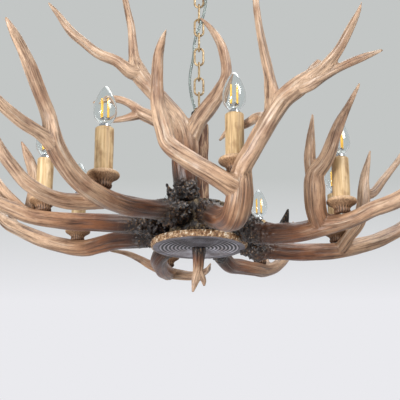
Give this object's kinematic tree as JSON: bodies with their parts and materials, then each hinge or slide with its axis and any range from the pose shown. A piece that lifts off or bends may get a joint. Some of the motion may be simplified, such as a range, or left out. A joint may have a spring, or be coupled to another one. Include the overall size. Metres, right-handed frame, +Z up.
{
  "type": "antler chandelier",
  "caption": "Chandelier of cast antlers round a hub with a candle light on each low antler, hung by a chain from a ceiling canopy.",
  "frame": {"origin": "middle of the ceiling bracket's top face, on the ceiling plane", "axes": "+Z up towards the ceiling, -Y towards the viewer of the picture, +X to the viewer's right"},
  "size_m": [0.8848, 0.8608, 0.6384],
  "materials": {
    "zinc_steel": "zinc plated",
    "aged_gold": "aged gold paint on steel",
    "clear_plastic": "clear moulded",
    "clear_cord": "clear sheath over tinned cores",
    "black_paint": "black semi-gloss",
    "bark_resin": "cast resin, painted as bark",
    "dark_resin": "cast resin, dark brown",
    "plate_resin": "cast resin, grey face and tan rim",
    "antler_resin": "cast resin, hand-painted as antler",
    "white_plastic": "moulded",
    "cup_resin": "cast resin, brown",
    "sleeve_resin": "cast resin, tan",
    "bulb_glass": "clear glass with a metal cap"
  },
  "bodies": {
    "ceiling_mount": {"ceiling_bracket": "zinc_steel", "ceiling_canopy": "aged_gold", "canopy_loop": "aged_gold", "loop_nut": "zinc_steel", "cord_grip": "clear_plastic", "supply_cord": "clear_cord"},
    "link_1": {"chain_link_1": "aged_gold"},
    "link_2": {"chain_link_2": "aged_gold"},
    "link_3": {"chain_link_3": "aged_gold"},
    "link_4": {"chain_link_4": "aged_gold"},
    "link_5": {"chain_link_5": "aged_gold"},
    "link_6": {"chain_link_6": "aged_gold"},
    "link_7": {"chain_link_7": "aged_gold"},
    "link_8": {"chain_link_8": "aged_gold"},
    "fixture": {"post_loop": "aged_gold", "post_collar": "black_paint", "bark_post": "bark_resin", "central_rod": "zinc_steel", "rod_nut": "zinc_steel", "hub_block": "dark_resin", "base_plate": "plate_resin", "finial": "antler_resin", "antler_screws": "zinc_steel", "terminal_block": "white_plastic", "front_upper_antler": "antler_resin", "rear_upper_antler": "antler_resin", "lampholders": "white_plastic", "socket_nipples": "zinc_steel", "candle_antler_1": "antler_resin", "candle_cup_1": "cup_resin", "candle_sleeve_1": "sleeve_resin", "candle_antler_2": "antler_resin", "candle_cup_2": "cup_resin", "candle_sleeve_2": "sleeve_resin", "candle_antler_3": "antler_resin", "candle_cup_3": "cup_resin", "candle_sleeve_3": "sleeve_resin", "candle_antler_4": "antler_resin", "candle_cup_4": "cup_resin", "candle_sleeve_4": "sleeve_resin", "candle_antler_5": "antler_resin", "candle_cup_5": "cup_resin", "candle_sleeve_5": "sleeve_resin", "candle_antler_6": "antler_resin", "candle_cup_6": "cup_resin", "candle_sleeve_6": "sleeve_resin", "candle_antler_7": "antler_resin", "candle_cup_7": "cup_resin", "candle_sleeve_7": "sleeve_resin", "candle_antler_8": "antler_resin", "candle_cup_8": "cup_resin", "candle_sleeve_8": "sleeve_resin"},
    "lamp_1": {"bulb_1": "bulb_glass"},
    "lamp_2": {"bulb_2": "bulb_glass"},
    "lamp_3": {"bulb_3": "bulb_glass"},
    "lamp_4": {"bulb_4": "bulb_glass"},
    "lamp_5": {"bulb_5": "bulb_glass"},
    "lamp_6": {"bulb_6": "bulb_glass"},
    "lamp_7": {"bulb_7": "bulb_glass"},
    "lamp_8": {"bulb_8": "bulb_glass"}
  },
  "joints": [
    {"name": "chain_hinge_1", "type": "hinge", "parent": "ceiling_mount", "child": "link_1", "pos_m": [0, 0, -0.065], "axis": [0, 1, 0], "range_deg": [-4, 4], "deforming": ["supply_cord"]},
    {"name": "chain_hinge_2", "type": "hinge", "parent": "link_1", "child": "link_2", "pos_m": [0, 0, -0.0947], "axis": [1, 0, 0], "range_deg": [-4, 4]},
    {"name": "chain_hinge_3", "type": "hinge", "parent": "link_2", "child": "link_3", "pos_m": [0, 0, -0.1244], "axis": [0, 1, 0], "range_deg": [-4, 4]},
    {"name": "chain_hinge_4", "type": "hinge", "parent": "link_3", "child": "link_4", "pos_m": [0, 0, -0.1541], "axis": [1, 0, 0], "range_deg": [-4, 4]},
    {"name": "chain_hinge_5", "type": "hinge", "parent": "link_4", "child": "link_5", "pos_m": [0, 0, -0.1838], "axis": [0, 1, 0], "range_deg": [-4, 4]},
    {"name": "chain_hinge_6", "type": "hinge", "parent": "link_5", "child": "link_6", "pos_m": [0, 0, -0.2135], "axis": [1, 0, 0], "range_deg": [-4, 4]},
    {"name": "chain_hinge_7", "type": "hinge", "parent": "link_6", "child": "link_7", "pos_m": [0, 0, -0.2432], "axis": [0, 1, 0], "range_deg": [-4, 4]},
    {"name": "chain_hinge_8", "type": "hinge", "parent": "link_7", "child": "link_8", "pos_m": [0, 0, -0.2729], "axis": [1, 0, 0], "range_deg": [-4, 4]},
    {"name": "chain_hinge_9", "type": "hinge", "parent": "link_8", "child": "fixture", "pos_m": [0, 0, -0.3026], "axis": [0, 1, 0], "range_deg": [-4, 4]},
    {"name": "lamp_slide_1", "type": "slide", "parent": "fixture", "child": "lamp_1", "axis": [0, 0, 1], "range_m": [0, 0.035]},
    {"name": "lamp_slide_2", "type": "slide", "parent": "fixture", "child": "lamp_2", "axis": [0, 0, 1], "range_m": [0, 0.035]},
    {"name": "lamp_slide_3", "type": "slide", "parent": "fixture", "child": "lamp_3", "axis": [0, 0, 1], "range_m": [0, 0.035]},
    {"name": "lamp_slide_4", "type": "slide", "parent": "fixture", "child": "lamp_4", "axis": [0, 0, 1], "range_m": [0, 0.035]},
    {"name": "lamp_slide_5", "type": "slide", "parent": "fixture", "child": "lamp_5", "axis": [0, 0, 1], "range_m": [0, 0.035]},
    {"name": "lamp_slide_6", "type": "slide", "parent": "fixture", "child": "lamp_6", "axis": [0, 0, 1], "range_m": [0, 0.035]},
    {"name": "lamp_slide_7", "type": "slide", "parent": "fixture", "child": "lamp_7", "axis": [0, 0, 1], "range_m": [0, 0.035]},
    {"name": "lamp_slide_8", "type": "slide", "parent": "fixture", "child": "lamp_8", "axis": [0, 0, 1], "range_m": [0, 0.035]}
  ]
}
